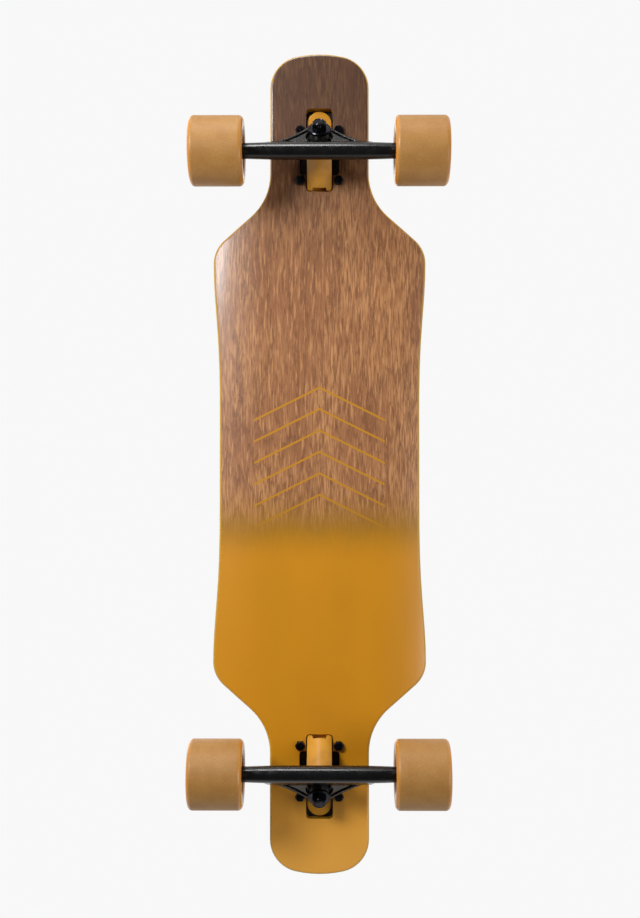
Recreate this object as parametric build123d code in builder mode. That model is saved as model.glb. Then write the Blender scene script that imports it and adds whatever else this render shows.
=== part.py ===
from build123d import *

import os
from math import asin, cos, degrees, radians, sin, sqrt

# Drop-through longboard.  Millimetres, +X towards the nose, +Z up, wheels standing on z = 0.
# The origin is on the ground under the middle of the board.

# --- driving dimensions: deck ---
DECK_LENGTH = 880.0
SHOULDER_WIDTH = 229.2        # widest part, just inside each wheel cutaway
SHOULDER_X = 215.0            # where the widest part ends
WAIST_WIDTH = 215.4
SWELL_X = 132.0               # the side starts to swell towards the shoulder here
SWELL_WIDTH = 219.4
NECK_WIDTH = 106.0
SHOULDER_RADIUS = 32.0
FLARE_RADIUS = 62.0
FLARE_ANGLE = 49.5            # degrees off the long axis
CORNER_RADIUS = 35.0
END_RADIUS = 118.0
FLAT_WIDTH = 112.0            # flat middle of the concave
CONCAVE_RISE = 8.0            # height of the rail at the shoulder above the flat
DECK_THICKNESS = 11.0
VENEER_THICKNESS = 1.0
TAPE_THICKNESS = 0.8
TAPE_INSET = 4.0
TAPE_GAP = 1.0                # tape is cut this far outside the truck's flange
DECK_EDGE_RADIUS = 3.0

# --- driving dimensions: truck mounting ---
WHEELBASE = 643.4             # axle to axle
AXLE_INSET = 8.0              # axle inboard of the bolt pattern's centre
AXLE_DROP = 50.0              # axle below the deck's underside
BOLT_SPACING_X = 53.975
BOLT_SPACING_Y = 41.275
BOLT_HOLE_RADIUS = 2.75
SLOT_WIDTH = 28.7
SLOT_INNER = 38.9             # slot end inboard of the bolt pattern's centre
SLOT_OUTER = 51.0
SLOT_WAIST_WIDTH = 43.0       # wider middle of the slot, for the hanger to swing in
SLOT_WAIST_LENGTH = 42.0
SLOT_CORNER = 4.0
PAD_THICKNESS = 1.2
FLANGE_THICKNESS = 5.0
FLANGE_WIDTH = 60.0
FLANGE_OVERLAP = 8.0          # flange past each end of the slot
FLANGE_CORNER = 10.0
FLANGE_CHAMFER = 1.0
BODY_CLEARANCE = 1.3          # raised body to slot wall, at the sides
BODY_END_CLEARANCE = 2.5      # raised body to slot wall, at the outer end
BODY_INNER_CLEARANCE = 1.0
PAD_CLEARANCE = 0.5

# --- driving dimensions: steering axis and kingpin ---
STEER_ANGLE = 42.0            # steering axis above the deck plane
BUSHING_OUT = 10.3            # bushing centre outboard of the bolt pattern's centre
BUSHING_DROP = 12.3           # bushing centre below the deck's underside
KINGPIN_RADIUS = 4.76
KINGPIN_CLEARANCE = 0.2
KINGPIN_END = 26.5
KINGPIN_CHAMFER = 0.8
KINGPIN_HEAD_HEIGHT = 5.0
KINGPIN_HEAD_FLATS = 14.0
HEAD_POCKET_RADIUS = 8.8
SEAT_DEPTH = 10.0             # metal between the bushing seat and the kingpin head
NUT_FLATS = 14.3
NUT_HEIGHT = 6.5
NUT_COLLAR_RADIUS = 6.2
NUT_COLLAR_HEIGHT = 1.3
BUSHING_RADIUS = 12.0
ROAD_SEAT_RADIUS = BUSHING_RADIUS + 2.1
BOARD_SEAT_RADIUS = BUSHING_RADIUS + 1.0
RING_RADIUS = ROAD_SEAT_RADIUS + 1.9
RING_WEB = 5.0                # metal between the two bushings
BUSHING_ROUNDING = 1.0
BUSHING_FOOT = 2.0            # straight foot of the roadside cone
BUSHING_TIP_RADIUS = 8.3      # narrow end of the roadside cone
BOARD_BUSHING_HEIGHT = 12.5
ROAD_BUSHING_HEIGHT = 14.0
WASHER_THICKNESS = 2.0
WASHER_RADIUS = BUSHING_RADIUS + 0.2
WASHER_LIP = 1.0
WASHER_WALL = 1.2
WASHER_CHAMFER = 0.7

# --- driving dimensions: baseplate ---
TOWER_FRONT = RING_RADIUS + 1.5   # pivot tower, measured inboard from the bushing centre
TOWER_BACK = TOWER_FRONT + 14.1
TOWER_TOP = 3.0
DOME_RADIUS = 10.5
DOME_ROUNDING = 6.0
CUP_RADIUS = 8.0
CUP_BACK = TOWER_FRONT + 10.5
CUP_LIP = 0.3                 # cup stands this proud of the tower
SEAT_FLOOR = 10.0             # floor of the hanger well above the deck's underside
RIM_RECESS = 3.5              # rim of the well above the deck's underside
WELL_START = 22.0
WELL_HALF_WIDTH = 10.7
WELL_END = 38.5
SCOOP_WIDTH = 14.5
SCOOP_LENGTH = 4.4
SCOOP_DEPTH = 14.0

# --- driving dimensions: hanger ---
HANGER_WIDTH = 180.0
BAR_RADIUS = 9.0
BAR_END_RADIUS = 7.7
BAR_STRAIGHT = 35.0
BOSS_RADIUS = 6.5
BOSS_LENGTH = 4.0
RING_BOTTOM = 4.5
RING_TOP = 8.0
RING_HOLE_RADIUS = 7.5
WEB_BOTTOM = 4.2
WEB_TOP = 8.5
WEB_FLAT = 5.0                # the web is flat this far past the bushing seat's edge
WEB_MEETING = 37.0            # degrees round the bar where the web's slope meets it
TOWER_GAP = 0.9
RING_GAP = 0.5
APEX_CENTRE = 17.5
APEX_RADIUS = 9.5
APEX_TURN = 53.0
WEB_SIDE_RADIUS = 115.0
WEB_SIDE_TURN = 30.0
GROOVE_WIDTH = 2.6
GROOVE_EDGE = 4.4             # groove centre inside the web's side
GROOVE_FLOOR = 5.6
GROOVE_TURN = 24.0
NOSE_RADIUS = 5.5
NOSE_CENTRE = TOWER_FRONT + 3.5
NOSE_ROOT = 2.0               # the nose starts this far outside the ring's hole
NOSE_CLEARANCE = 0.08

# --- driving dimensions: axle, bearings and wheels ---
AXLE_RADIUS = 3.97
AXLE_CHAMFER = 0.7
AXLE_STICKOUT = 34.0          # axle past the hanger face
SPEED_WASHER_THICKNESS = 0.8
SPEED_WASHER_RADIUS = 5.9
BEARING_BORE_RADIUS = 4.0
BEARING_RADIUS = 11.0
BEARING_WIDTH = 7.0
INNER_RING_RADIUS = 6.0
OUTER_RING_INNER_RADIUS = 9.0
BALL_RADIUS = 1.985
BALL_PITCH_RADIUS = 7.5
BALL_COUNT = 7
RACE_CLEARANCE = 0.055
SHIELD_THICKNESS = 0.35
SHIELD_INSET = 0.3
SHIELD_GAP = 0.35
SPACER_LENGTH = 10.0
SPACER_RADIUS = 5.2
AXLE_NUT_FLATS = 12.7
AXLE_NUT_HEIGHT = 4.6
AXLE_NUT_COLLAR_RADIUS = 5.4
AXLE_NUT_COLLAR_HEIGHT = 1.6
WHEEL_RADIUS = 36.0
WHEEL_WIDTH = 56.0
WHEEL_OVERHANG = 12.0         # inner face of the wheel inboard of the hanger face
LIP_RADIUS = 5.0
FACE_RADIUS = 27.0            # flat ring of each face starts here
DISH_RADIUS = 21.0
DISH_DEPTH = 1.6
CORE_RADIUS = 19.0
CORE_RECESS = 6.0             # end of the core inside each face of the tyre
CORE_WALL = 2.0
CORE_MOUTH = 1.5
CORE_SHOULDER_RADIUS = 9.6

# --- driving dimensions: mounting hardware ---
SCREW_RADIUS = 2.4
SCREW_HEAD_RADIUS = 4.6
SCREW_HEAD_HEIGHT = 2.7
SCREW_HEAD_ROUNDING = 1.4
SCREW_SOCKET_FLATS = 3.0
SCREW_SOCKET_DEPTH = 1.6
SCREW_END = 6.7               # screw end below the deck's underside
LOCK_NUT_FLATS = 9.5
LOCK_NUT_HEIGHT = 4.0
LOCK_NUT_COLLAR_RADIUS = 4.2
LOCK_NUT_COLLAR_HEIGHT = 1.2

# --- worked out from the dimensions above ---
UNDERSIDE_Z = WHEEL_RADIUS + AXLE_DROP
BOLT_CENTRE_X = WHEELBASE / 2 + AXLE_INSET
FLANGE_BOTTOM = DECK_THICKNESS + PAD_THICKNESS
FLANGE_TOP = FLANGE_BOTTOM + FLANGE_THICKNESS
SLOT_LENGTH = SLOT_INNER + SLOT_OUTER
SLOT_MIDDLE = (SLOT_OUTER - SLOT_INNER) / 2
BODY_WIDTH = SLOT_WIDTH - 2 * BODY_CLEARANCE
BODY_INNER = -SLOT_INNER + BODY_INNER_CLEARANCE
BODY_OUTER = SLOT_OUTER - BODY_END_CLEARANCE
AXIS_COS = cos(radians(STEER_ANGLE))
AXIS_SIN = sin(radians(STEER_ANGLE))
SEAT = -(RING_WEB / 2 + BOARD_BUSHING_HEIGHT + WASHER_THICKNESS)
HEAD_SEAT = SEAT - SEAT_DEPTH
ROAD_BUSHING_TOP = RING_WEB / 2 + ROAD_BUSHING_HEIGHT
NUT_SEAT = ROAD_BUSHING_TOP + WASHER_THICKNESS
HANGER_FACE = HANGER_WIDTH / 2
INNER_BEARING = HANGER_FACE + SPEED_WASHER_THICKNESS
OUTER_BEARING = INNER_BEARING + BEARING_WIDTH + SPACER_LENGTH
BEARINGS_END = OUTER_BEARING + BEARING_WIDTH
AXLE_NUT_SEAT = BEARINGS_END + SPEED_WASHER_THICKNESS
AXLE_END = HANGER_FACE + AXLE_STICKOUT
WHEEL_INNER = HANGER_FACE - WHEEL_OVERHANG
WHEEL_OUTER = WHEEL_INNER + WHEEL_WIDTH
MARGIN = 10.0                 # cutting tools overshoot by this much
OVERLAP = 1.0                 # shapes that are joined reach this far into each other
TINY = 0.01


def write(piece, name):
    """Label one finished piece and write it as its own STEP file."""
    piece.part.label = name
    export_step(piece.part, f"parts/{name}.step")


# --- frames ---
def truck_frame(outward):
    """Bolt pattern's centre on the deck's underside: x outboard, z up."""
    origin = (outward * BOLT_CENTRE_X, 0, UNDERSIDE_Z)
    return Plane(origin=origin, x_dir=(outward, 0, 0), z_dir=(0, 0, 1))


def side_of(frame):
    """Plane through a frame's x and z axes, so that a sketch's y runs along the frame's z."""
    return Plane(origin=frame.origin, x_dir=frame.x_dir, z_dir=-frame.y_dir)


def steer_frame(outward):
    """Bushing centre: x outboard along the steering axis, z along the kingpin to its nut."""
    origin = truck_frame(outward).from_local_coords((BUSHING_OUT, 0, -BUSHING_DROP))
    along_axis = (outward * AXIS_COS, 0, AXIS_SIN)
    along_kingpin = (outward * AXIS_SIN, 0, -AXIS_COS)
    return Plane(origin=origin, x_dir=along_axis, z_dir=along_kingpin)


def axle_frame(outward, side):
    """Axle's middle: x along the axle towards one wheel, y up."""
    origin = (outward * WHEELBASE / 2, 0, WHEEL_RADIUS)
    return Plane(origin=origin, x_dir=(0, side, 0), z_dir=(side, 0, 0))


def steer_point(along, up):
    """Truck-side coordinates of a point given along the steering axis and the kingpin."""
    x = BUSHING_OUT + along * AXIS_COS + up * AXIS_SIN
    z = -BUSHING_DROP + along * AXIS_SIN - up * AXIS_COS
    return (x, z)


# --- deck ---
def deck_outline(inset):
    """Board outline: one quarter from the waist to the end, mirrored twice."""
    turn = radians(FLARE_ANGLE)
    shoulder_radius = SHOULDER_RADIUS - inset
    flare_radius = FLARE_RADIUS + inset
    corner_radius = CORNER_RADIUS - inset
    end_radius = END_RADIUS - inset
    neck_y = NECK_WIDTH / 2 - inset
    narrowing = (SHOULDER_WIDTH - NECK_WIDTH) / 2
    flare_length = (narrowing - (shoulder_radius + flare_radius) * (1 - cos(turn))) / sin(turn)
    corner_y = neck_y - corner_radius
    corner_reach = end_radius - corner_radius
    corner_x = DECK_LENGTH / 2 - END_RADIUS + sqrt(corner_reach**2 - corner_y**2)
    end_turn = degrees(asin(corner_y / corner_reach))
    with BuildSketch() as outline:
        with BuildLine():
            start = (0, WAIST_WIDTH / 2 - inset)
            swell = (SWELL_X, SWELL_WIDTH / 2 - inset)
            widest = (SHOULDER_X, SHOULDER_WIDTH / 2 - inset)
            Spline(start, swell, widest, tangents=[(1, 0), (1, 0)])
            shoulder = JernArc(widest, (1, 0), shoulder_radius, -FLARE_ANGLE)
            flare = PolarLine(shoulder @ 1, flare_length, -FLARE_ANGLE)
            inner = JernArc(flare @ 1, flare % 1, flare_radius, FLARE_ANGLE)
            neck = Line(inner @ 1, (corner_x, neck_y))
            corner = JernArc(neck @ 1, neck % 1, corner_radius, end_turn - 90)
            JernArc(corner @ 1, corner % 1, end_radius, -end_turn)
            mirror(about=Plane.XZ)
            mirror(about=Plane.YZ)
        make_face()
    return outline.sketch


def deck_section(low, high):
    """Cross-section between two heights above the underside: flat middle, raised rails."""
    reach = (SHOULDER_WIDTH - FLAT_WIDTH) / 2
    radius = (reach**2 + CONCAVE_RISE**2) / (2 * CONCAVE_RISE)
    sweep = degrees(asin((reach + MARGIN) / (radius - DECK_THICKNESS)))
    plane = Plane(origin=(0, 0, UNDERSIDE_Z), x_dir=(0, 1, 0), z_dir=(1, 0, 0))
    with BuildSketch(plane) as section:
        with BuildLine():
            flat_low = Line((0, low), (FLAT_WIDTH / 2, low))
            flat_high = Line((0, high), (FLAT_WIDTH / 2, high))
            rail_low = JernArc(flat_low @ 1, (1, 0), radius - low, sweep)
            rail_high = JernArc(flat_high @ 1, (1, 0), radius - high, sweep)
            Line(rail_low @ 1, rail_high @ 1)
            mirror(about=Plane.YZ)
        make_face()
    return section.sketch


def slot_outline(frame):
    """Drop-through slot with its wider middle."""
    with BuildSketch(frame) as slot:
        with Locations((SLOT_MIDDLE, 0)):
            RectangleRounded(SLOT_LENGTH, SLOT_WIDTH, SLOT_CORNER)
        RectangleRounded(SLOT_WAIST_LENGTH, SLOT_WAIST_WIDTH, SLOT_CORNER)
    return slot.sketch


def bolt_circles(frame, radius):
    """The four mounting bolts' positions as circles."""
    with BuildSketch(frame) as circles:
        with GridLocations(BOLT_SPACING_X, BOLT_SPACING_Y, 2, 2):
            Circle(radius)
    return circles.sketch


def board_blank(low, high, inset, edge_radius):
    """Board between two heights, with its truck slots and bolt holes."""
    with BuildPart() as board:
        with BuildSketch(Plane.XY.offset(UNDERSIDE_Z - MARGIN)):
            add(deck_outline(inset))
        extrude(amount=DECK_THICKNESS + CONCAVE_RISE + 3 * MARGIN)
        extrude(deck_section(low, high), amount=DECK_LENGTH, both=True, mode=Mode.INTERSECT)
        if edge_radius > 0:
            flat_ends = board.edges().filter_by(Axis.Z)
            seams = board.edges().filter_by(
                lambda edge: edge.length > SHOULDER_X and abs(abs(edge.center().Y) - FLAT_WIDTH / 2) < TINY
            )
            rim = [edge for edge in board.edges() if edge not in flat_ends and edge not in seams]
            fillet(rim, edge_radius)
        for outward in (1, -1):
            frame = truck_frame(outward)
            extrude(slot_outline(frame), amount=MARGIN + DECK_THICKNESS, both=True, mode=Mode.SUBTRACT)
            extrude(bolt_circles(frame, BOLT_HOLE_RADIUS), amount=MARGIN + DECK_THICKNESS, both=True,
                    mode=Mode.SUBTRACT)
    return board


def make_deck():
    """Laminated deck: core, a veneer on each face, and the grip tape."""
    blank = board_blank(0, DECK_THICKNESS, 0, DECK_EDGE_RADIUS)
    layers = {
        "bottom_veneer": (0, VENEER_THICKNESS),
        "deck_core": (VENEER_THICKNESS, DECK_THICKNESS - VENEER_THICKNESS),
        "top_veneer": (DECK_THICKNESS - VENEER_THICKNESS, DECK_THICKNESS),
    }
    for name, (low, high) in layers.items():
        with BuildPart() as layer:
            add(blank.part)
            extrude(deck_section(low, high), amount=DECK_LENGTH, both=True, mode=Mode.INTERSECT)
        write(layer, name)
    tape_blank = board_blank(DECK_THICKNESS, DECK_THICKNESS + TAPE_THICKNESS, TAPE_INSET, 0)
    with BuildPart() as grip_tape:
        add(tape_blank.part)
        for outward in (1, -1):
            extrude(flange_outline(truck_frame(outward), TAPE_GAP), amount=2 * DECK_THICKNESS, mode=Mode.SUBTRACT)
    write(grip_tape, "grip_tape")


# --- baseplate ---
def body_outline(frame, margin):
    """Raised body of the baseplate seen from below: square inboard, round outboard."""
    half = BODY_WIDTH / 2
    inner = BODY_INNER - margin
    middle = (inner + BODY_OUTER - half) / 2
    with BuildSketch(frame) as outline:
        with Locations((middle, 0)):
            body = Rectangle(BODY_OUTER - half - inner, BODY_WIDTH + 2 * margin)
        fillet(body.vertices().group_by(Axis.X)[0], SLOT_CORNER - BODY_CLEARANCE)
        with Locations((BODY_OUTER - half, 0)):
            Circle(half + margin)
    return outline.sketch


def flange_outline(frame, margin):
    """Flange that rests on the deck and covers the slot, grown by a margin."""
    length = SLOT_LENGTH + 2 * FLANGE_OVERLAP + 2 * margin
    with BuildSketch(frame) as outline:
        with Locations((SLOT_MIDDLE, 0)):
            RectangleRounded(length, FLANGE_WIDTH + 2 * margin, FLANGE_CORNER + margin)
    return outline.sketch


def body_profile(frame):
    """Side of the raised body: pivot tower, slanted bushing seat, hanger well and rim."""
    root = FLANGE_BOTTOM + FLANGE_THICKNESS / 2
    back_up = (BODY_INNER - steer_point(-TOWER_BACK, 0)[0]) / AXIS_SIN
    seat_end = (SEAT_FLOOR - steer_point(0, SEAT)[1]) / AXIS_SIN
    with BuildSketch(side_of(frame)) as profile:
        with BuildLine():
            Polyline(
                (BODY_INNER, root),
                steer_point(-TOWER_BACK, back_up),
                steer_point(-TOWER_BACK, TOWER_TOP),
                steer_point(-TOWER_FRONT, TOWER_TOP),
                steer_point(-TOWER_FRONT, SEAT),
                steer_point(seat_end, SEAT),
                (WELL_START, SEAT_FLOOR),
                (WELL_START, RIM_RECESS),
                (BODY_OUTER, RIM_RECESS),
                (BODY_OUTER, root),
                close=True,
            )
        make_face()
    return profile.sketch


def make_baseplate(outward):
    """Cast baseplate: flange on the deck, raised body through the slot, pivot tower."""
    frame = truck_frame(outward)
    steer = steer_frame(outward)
    steer_side = side_of(steer)
    well_middle = (WELL_START + WELL_END - WELL_HALF_WIDTH) / 2
    with BuildPart() as baseplate:
        extrude(body_profile(frame), amount=BODY_WIDTH / 2, both=True)
        extrude(body_outline(frame.offset(-AXLE_DROP), 0), amount=2 * AXLE_DROP, mode=Mode.INTERSECT)
        with BuildSketch(frame):
            with Locations((well_middle, 0)):
                Rectangle(WELL_END - WELL_HALF_WIDTH - WELL_START + OVERLAP, 2 * WELL_HALF_WIDTH)
            with Locations((WELL_END - WELL_HALF_WIDTH, 0)):
                Circle(WELL_HALF_WIDTH)
        extrude(amount=SEAT_FLOOR, mode=Mode.SUBTRACT)
        with BuildSketch(steer_side):
            with BuildLine():
                Polyline((-TOWER_FRONT, 0), (-TOWER_FRONT, DOME_RADIUS),
                         (DOME_ROUNDING - TOWER_BACK, DOME_RADIUS))
                JernArc((DOME_ROUNDING - TOWER_BACK, DOME_RADIUS), (-1, 0), DOME_ROUNDING, 90)
                Polyline((-TOWER_BACK, DOME_RADIUS - DOME_ROUNDING), (-TOWER_BACK, 0), (-TOWER_FRONT, 0))
            make_face()
        revolve(axis=Axis(steer.origin, steer.x_dir))
        extrude(flange_outline(frame.offset(FLANGE_BOTTOM), 0), amount=FLANGE_THICKNESS)
        top_rim = baseplate.faces().sort_by(Axis.Z)[-1].outer_wire().edges()
        chamfer(top_rim, FLANGE_CHAMFER)
        cup_mouth = Plane(origin=steer.from_local_coords((-CUP_BACK, 0, 0)), z_dir=steer.x_dir)
        with BuildSketch(cup_mouth):
            Circle(CUP_RADIUS)
        extrude(amount=CUP_BACK - TOWER_FRONT + OVERLAP, mode=Mode.SUBTRACT)
        with BuildSketch(steer.offset(HEAD_SEAT)):
            Circle(KINGPIN_RADIUS + KINGPIN_CLEARANCE)
        extrude(amount=SEAT_DEPTH, mode=Mode.SUBTRACT)
        with BuildSketch(steer.offset(HEAD_SEAT)):
            Circle(HEAD_POCKET_RADIUS)
        extrude(amount=-SEAT_DEPTH - 2 * FLANGE_TOP, mode=Mode.SUBTRACT)
        with BuildSketch(frame.offset(-SCOOP_DEPTH / 2)):
            with Locations((BODY_INNER, 0)):
                RectangleRounded(2 * SCOOP_LENGTH, SCOOP_WIDTH, SLOT_CORNER / 2)
        extrude(amount=SCOOP_DEPTH, mode=Mode.SUBTRACT)
        extrude(bolt_circles(frame, BOLT_HOLE_RADIUS), amount=FLANGE_TOP + MARGIN, mode=Mode.SUBTRACT)
    return baseplate


def make_shock_pad(outward):
    """Thin rubber pad between the deck's top veneer and the flange."""
    base = truck_frame(outward).offset(DECK_THICKNESS)
    with BuildPart() as shock_pad:
        extrude(flange_outline(base, 0), amount=PAD_THICKNESS)
        extrude(body_outline(base, PAD_CLEARANCE), amount=PAD_THICKNESS, mode=Mode.SUBTRACT)
        extrude(bolt_circles(base, BOLT_HOLE_RADIUS), amount=PAD_THICKNESS, mode=Mode.SUBTRACT)
    return shock_pad


def make_pivot_cup(outward):
    """Urethane cup in the tower that holds the hanger's nose."""
    steer = steer_frame(outward)
    bore = NOSE_RADIUS + NOSE_CLEARANCE
    mouth = -TOWER_FRONT + CUP_LIP
    with BuildPart() as pivot_cup:
        with BuildSketch(side_of(steer)):
            with BuildLine():
                Polyline((-NOSE_CENTRE - bore, 0), (-CUP_BACK, 0), (-CUP_BACK, CUP_RADIUS),
                         (mouth, CUP_RADIUS), (mouth, bore), (-NOSE_CENTRE, bore))
                JernArc((-NOSE_CENTRE, bore), (-1, 0), bore, 90)
            make_face()
        revolve(axis=Axis(steer.origin, steer.x_dir))
    return pivot_cup


# --- kingpin stack ---
def make_kingpin(outward):
    """Kingpin bolt: hexagon head in the baseplate's pocket, shank through both bushings."""
    steer = steer_frame(outward)
    with BuildPart() as kingpin:
        with BuildSketch(steer.offset(HEAD_SEAT)):
            RegularPolygon(KINGPIN_HEAD_FLATS / 2, 6, major_radius=False)
        extrude(amount=-KINGPIN_HEAD_HEIGHT)
        with BuildSketch(steer.offset(HEAD_SEAT)):
            Circle(KINGPIN_RADIUS)
        extrude(amount=KINGPIN_END - HEAD_SEAT)
        tip = kingpin.edges().filter_by(GeomType.CIRCLE).sort_by(Axis(steer.origin, steer.z_dir))[-1]
        chamfer(tip, KINGPIN_CHAMFER)
    return kingpin


def make_lock_nut(planes, flats, height, collar_radius, collar_height, bore):
    """Lock nuts, one on each plane: hexagon, nylon collar and a plain bore."""
    with BuildPart() as lock_nut:
        for plane in planes:
            with BuildSketch(plane):
                RegularPolygon(flats / 2, 6, major_radius=False)
                Circle(bore, mode=Mode.SUBTRACT)
            extrude(amount=height)
            with BuildSketch(plane.offset(height)):
                Circle(collar_radius)
                Circle(bore, mode=Mode.SUBTRACT)
            extrude(amount=collar_height)
    return lock_nut


def make_ring(plane, low, high, outer, inner):
    """Plain round ring standing on a plane."""
    with BuildPart() as ring:
        with BuildSketch(plane.offset(low)):
            Circle(outer)
            Circle(inner, mode=Mode.SUBTRACT)
        extrude(amount=high - low)
    return ring


def make_board_bushing(outward):
    """Barrel bushing between the baseplate and the hanger."""
    steer = steer_frame(outward)
    low = SEAT + WASHER_THICKNESS
    bushing = make_ring(steer, low, -RING_WEB / 2, BUSHING_RADIUS, KINGPIN_RADIUS + KINGPIN_CLEARANCE)
    with BuildPart() as rounded:
        add(bushing.part)
        rims = rounded.edges().filter_by(GeomType.CIRCLE)
        fillet([rim for rim in rims if rim.radius > BUSHING_RADIUS - TINY], BUSHING_ROUNDING)
    return rounded


def make_road_bushing(outward):
    """Cone bushing between the hanger and the cup washer."""
    steer = steer_frame(outward)
    bore = KINGPIN_RADIUS + KINGPIN_CLEARANCE
    low = RING_WEB / 2
    with BuildPart() as bushing:
        with BuildSketch(side_of(steer)):
            with BuildLine():
                Polyline((bore, low), (BUSHING_RADIUS, low), (BUSHING_RADIUS, low + BUSHING_FOOT),
                         (BUSHING_TIP_RADIUS, ROAD_BUSHING_TOP), (bore, ROAD_BUSHING_TOP), close=True)
            make_face()
        revolve(axis=Axis(steer.origin, steer.z_dir))
    return bushing


def make_cup_washer(outward):
    """Roadside cup washer with a shallow lip over the bushing."""
    steer = steer_frame(outward)
    bore = KINGPIN_RADIUS + KINGPIN_CLEARANCE
    low = ROAD_BUSHING_TOP
    inside = WASHER_RADIUS - WASHER_WALL
    with BuildPart() as washer:
        with BuildSketch(side_of(steer)):
            with BuildLine():
                Polyline((bore, low), (inside, low), (inside, low - WASHER_LIP),
                         (WASHER_RADIUS, low - WASHER_LIP), (WASHER_RADIUS, NUT_SEAT - WASHER_CHAMFER),
                         (WASHER_RADIUS - WASHER_CHAMFER, NUT_SEAT), (bore, NUT_SEAT), close=True)
            make_face()
        revolve(axis=Axis(steer.origin, steer.z_dir))
    return washer


# --- hanger ---
def web_plan():
    """Half of the web seen along the kingpin: round apex, curved side, back to the bar."""
    bar_along = bar_centre()[0]
    with BuildLine() as half:
        apex = CenterArc((APEX_CENTRE, 0), APEX_RADIUS, 0, APEX_TURN)
        side = JernArc(apex @ 1, apex % 1, WEB_SIDE_RADIUS, -WEB_SIDE_TURN)
        shoulder = (bar_along + BAR_RADIUS / 2, (side @ 1).Y + BAR_RADIUS / 2)
        Polyline(side @ 1, shoulder, (bar_along, 0), apex @ 0)
    return half


def bar_centre():
    """Bar's centre in the steering frame, along the axis and along the kingpin."""
    across = -AXLE_INSET - BUSHING_OUT
    down = AXLE_DROP - BUSHING_DROP
    along = across * AXIS_COS - down * AXIS_SIN
    up = across * AXIS_SIN + down * AXIS_COS
    return (along, up)


def web_profile(steer):
    """Side of the web: flat around the bushing seat, rising over the tower to the bar."""
    bar_along, bar_up = bar_centre()
    tip = APEX_CENTRE + APEX_RADIUS + OVERLAP
    clear_tower = DOME_RADIUS + TOWER_GAP
    wall = -RING_RADIUS - RING_GAP
    meeting = radians(WEB_MEETING)
    meets_bar = bar_along + sqrt(BAR_RADIUS**2 - (bar_up - clear_tower) ** 2)
    with BuildSketch(side_of(steer)) as profile:
        with BuildLine():
            Polyline(
                (tip, WEB_BOTTOM),
                (tip, WEB_TOP),
                (WEB_FLAT - ROAD_SEAT_RADIUS, WEB_TOP),
                (bar_along + BAR_RADIUS * cos(meeting), bar_up + BAR_RADIUS * sin(meeting)),
                (bar_along, bar_up),
                (meets_bar, clear_tower),
                (wall, clear_tower),
                (wall, WEB_BOTTOM),
                close=True,
            )
        make_face()
    return profile.sketch


def make_hanger(outward):
    """Cast hanger: bar, triangular web, bushing ring and pivot nose."""
    steer = steer_frame(outward)
    bar = axle_frame(outward, 1)
    bar_end = HANGER_FACE - BOSS_LENGTH
    reach = HANGER_WIDTH
    with BuildPart() as hanger:
        with BuildSketch(steer):
            with BuildLine():
                add(web_plan().line)
            make_face()
            mirror(about=Plane.XZ)
        extrude(amount=AXLE_DROP)
        extrude(web_profile(steer), amount=reach, both=True, mode=Mode.INTERSECT)
        with BuildSketch(steer.offset(-RING_BOTTOM)):
            Circle(RING_RADIUS)
        extrude(amount=RING_BOTTOM + RING_TOP)
        with BuildSketch(side_of(steer)):
            with BuildLine():
                Polyline((-NOSE_CENTRE - NOSE_RADIUS, 0), (-RING_HOLE_RADIUS - NOSE_ROOT, 0),
                         (-RING_HOLE_RADIUS - NOSE_ROOT, NOSE_RADIUS), (-NOSE_CENTRE, NOSE_RADIUS))
                JernArc((-NOSE_CENTRE, NOSE_RADIUS), (-1, 0), NOSE_RADIUS, 90)
            make_face()
        revolve(axis=Axis(steer.origin, steer.x_dir))
        with BuildSketch(steer.offset(RING_WEB / 2)):
            Circle(ROAD_SEAT_RADIUS)
        extrude(amount=AXLE_DROP, mode=Mode.SUBTRACT)
        with BuildSketch(steer.offset(-RING_WEB / 2)):
            Circle(BOARD_SEAT_RADIUS)
        extrude(amount=-RING_BOTTOM, mode=Mode.SUBTRACT)
        with BuildSketch(steer.offset(-RING_BOTTOM)):
            Circle(RING_HOLE_RADIUS)
        extrude(amount=RING_BOTTOM + RING_TOP, mode=Mode.SUBTRACT)
        with BuildSketch(steer.offset(GROOVE_FLOOR)):
            groove_band()
        extrude(amount=MARGIN, mode=Mode.SUBTRACT)
        with BuildSketch(bar):
            with BuildLine():
                Polyline((0, 0), (HANGER_FACE, 0), (HANGER_FACE, BOSS_RADIUS), (bar_end, BOSS_RADIUS),
                         (bar_end, BAR_END_RADIUS))
                waist = Line((0, BAR_RADIUS), (BAR_STRAIGHT, BAR_RADIUS))
                TangentArc(waist @ 1, (bar_end, BAR_END_RADIUS), tangent=(1, 0))
                Line((0, 0), (0, BAR_RADIUS))
            make_face()
            mirror(about=Plane.YZ)
        revolve(axis=Axis(bar.origin, bar.x_dir))
        with BuildSketch(Plane(origin=bar.from_local_coords((-reach, 0, 0)), z_dir=bar.x_dir)):
            Circle(AXLE_RADIUS)
        extrude(amount=2 * reach, mode=Mode.SUBTRACT)
    return hanger


def groove_band():
    """Groove along each side of the web, parallel to it."""
    middle = Vector(APEX_CENTRE, 0)
    inner_radius = APEX_RADIUS - GROOVE_EDGE
    start_direction = Vector(cos(radians(APEX_TURN)), sin(radians(APEX_TURN)))
    start = middle + start_direction * inner_radius
    heading = Vector(-start_direction.Y, start_direction.X)
    with BuildLine(mode=Mode.PRIVATE) as path:
        JernArc(start, heading, WEB_SIDE_RADIUS + GROOVE_EDGE, -GROOVE_TURN)
    SlotArc(path.edges()[0], GROOVE_WIDTH)
    mirror(about=Plane.XZ)


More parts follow.
